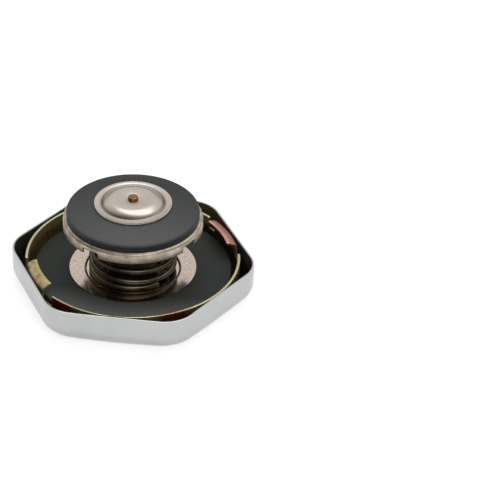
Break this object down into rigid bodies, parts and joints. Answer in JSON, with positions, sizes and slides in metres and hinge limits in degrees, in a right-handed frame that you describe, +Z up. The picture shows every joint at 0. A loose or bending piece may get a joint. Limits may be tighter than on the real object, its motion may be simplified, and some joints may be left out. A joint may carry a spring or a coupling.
{
  "type": "radiator cap",
  "caption": "Radiator cap with a plated hexagonal cover, a bayonet locking shell with bent-in lugs and a sprung pressure valve that carries a small vacuum valve.",
  "frame": {"origin": "middle of the plated outer face, on which the cap lies", "axes": "+Z up through the valve, away from the plated face; +X towards a corner of the hexagon, with flats facing +Y and -Y"},
  "size_m": [0.0786, 0.071, 0.0344],
  "materials": {
    "chrome_plate": "bright plated outside, dull dark inside",
    "zinc_yellow": "zinc plate with a yellow passivation that shifts to olive and pink",
    "spring_steel": "dark spring steel",
    "neck_rubber": "matt black rubber",
    "rivet_steel": "plain steel",
    "bright_steel": "bright pressed stainless steel",
    "valve_steel": "satin pressed stainless steel",
    "spring_wire": "oil-tempered dark wire",
    "seal_rubber": "matt black moulded rubber",
    "light_spring_wire": "plain wire",
    "disc_steel": "satin pressed stainless steel",
    "stem_brass": "copper-coloured brass"
  },
  "bodies": {
    "cap_body": {"cover": "chrome_plate", "locking_shell": "zinc_yellow", "diaphragm": "spring_steel", "upper_gasket": "neck_rubber", "centre_rivet": "rivet_steel", "rivet_washer": "rivet_steel"},
    "valve_carrier": {"spring_seat": "bright_steel", "guide_bell": "valve_steel", "pressure_spring": "spring_wire"},
    "pressure_valve": {"pressure_plate": "valve_steel", "pressure_gasket": "seal_rubber", "plunger": "valve_steel", "stem_guide": "rivet_steel", "vacuum_spring": "light_spring_wire"},
    "vacuum_valve": {"vacuum_disc": "disc_steel", "vacuum_stem": "stem_brass", "stem_keeper": "rivet_steel"}
  },
  "joints": [
    {"name": "valve_swivel", "type": "hinge", "parent": "cap_body", "child": "valve_carrier", "pos_m": [0, 0, 0.0051], "axis": [0, 0, 1], "continuous": true},
    {"name": "pressure_slide", "type": "slide", "parent": "valve_carrier", "child": "pressure_valve", "axis": [0, 0, -1], "range_m": [0, 0.006], "stiffness_N_per_m": 2500, "springref_m": -0.0002, "deforming": ["pressure_spring"]},
    {"name": "vacuum_slide", "type": "slide", "parent": "pressure_valve", "child": "vacuum_valve", "axis": [0, 0, 1], "range_m": [0, 0.0015], "stiffness_N_per_m": 150, "deforming": ["vacuum_spring"]}
  ]
}
